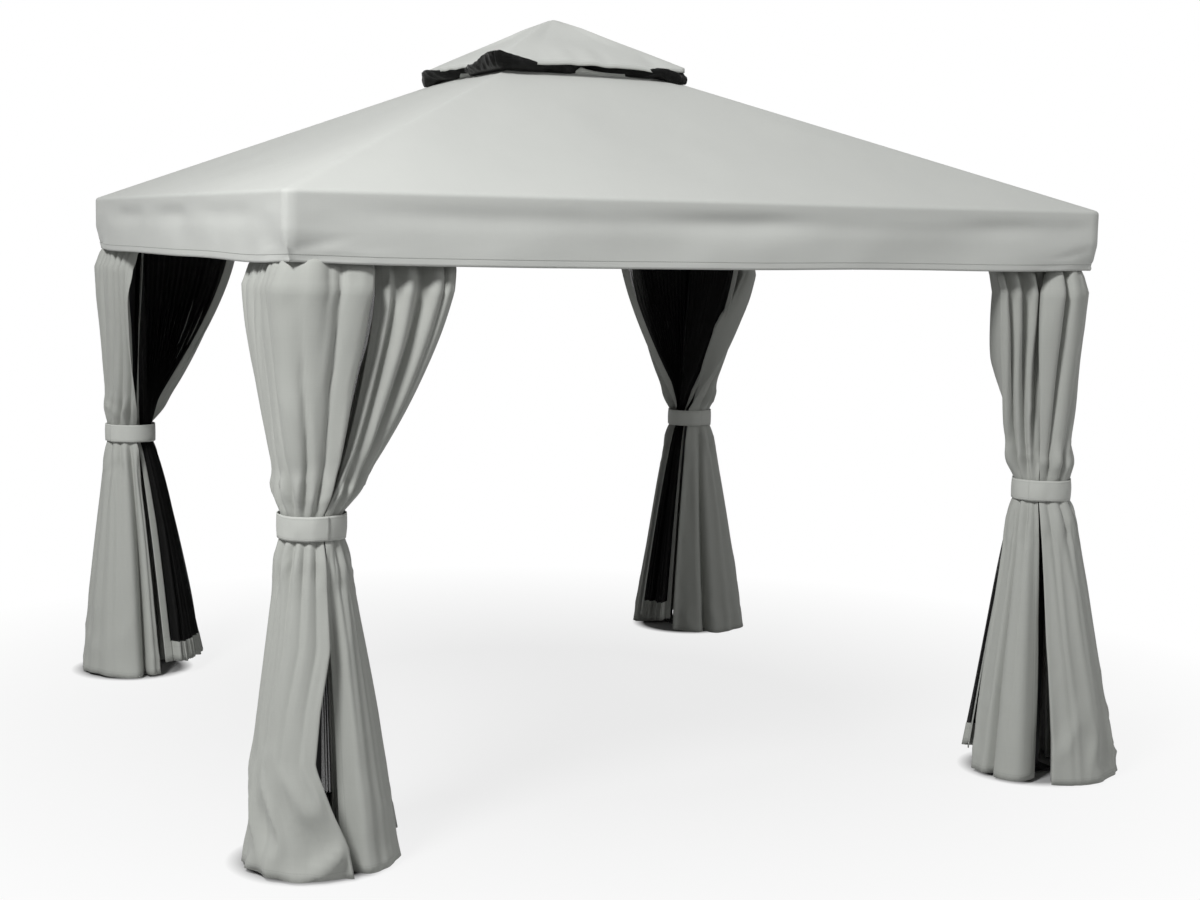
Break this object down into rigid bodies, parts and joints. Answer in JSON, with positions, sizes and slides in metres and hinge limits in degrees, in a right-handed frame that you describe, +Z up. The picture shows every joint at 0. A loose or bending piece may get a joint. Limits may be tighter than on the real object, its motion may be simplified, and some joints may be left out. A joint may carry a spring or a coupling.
{
  "type": "garden gazebo",
  "caption": "Square garden gazebo with a tube frame, a two-tier vented cloth canopy with valances, and curtains and insect nets tied back to the corner posts.",
  "frame": {"origin": "on the ground at the middle of the four posts", "axes": "+Z up, +X to the right of someone facing the front, -Y to the front"},
  "size_m": [3.306, 3.306, 2.7859],
  "materials": {
    "frame_metal": "matt black powder coat on steel tube",
    "canopy_cloth": "light grey coated polyester canopy cloth",
    "curtain_cloth": "grey woven polyester curtain cloth",
    "netting": "black knitted insect netting"
  },
  "bodies": {
    "root": {"foot_plates": "frame_metal", "post_front_left": "frame_metal", "post_front_right": "frame_metal", "post_back_left": "frame_metal", "post_back_right": "frame_metal", "beam_front": "frame_metal", "beam_right": "frame_metal", "beam_back": "frame_metal", "beam_left": "frame_metal", "corner_joint_front_left": "frame_metal", "corner_joint_front_right": "frame_metal", "corner_joint_back_left": "frame_metal", "corner_joint_back_right": "frame_metal", "hip_rafter_front_left": "frame_metal", "hip_rafter_front_right": "frame_metal", "hip_rafter_back_left": "frame_metal", "hip_rafter_back_right": "frame_metal", "eave_rails": "frame_metal", "crown_ring": "frame_metal", "top_rafters": "frame_metal", "peak_hub": "frame_metal", "roof_panel_front": "canopy_cloth", "roof_panel_right": "canopy_cloth", "roof_panel_back": "canopy_cloth", "roof_panel_left": "canopy_cloth", "valance_front": "canopy_cloth", "valance_right": "canopy_cloth", "valance_back": "canopy_cloth", "valance_left": "canopy_cloth", "top_canopy": "canopy_cloth", "vent_netting": "netting", "curtain_front_left": "curtain_cloth", "curtain_front_right": "curtain_cloth", "curtain_back_left": "curtain_cloth", "curtain_back_right": "curtain_cloth", "net_front_left": "netting", "net_front_right": "netting", "net_back_left": "netting", "net_back_right": "netting", "tie_back_front_left": "curtain_cloth", "tie_back_front_right": "curtain_cloth", "tie_back_back_left": "curtain_cloth", "tie_back_back_right": "curtain_cloth"}
  },
  "joints": []
}
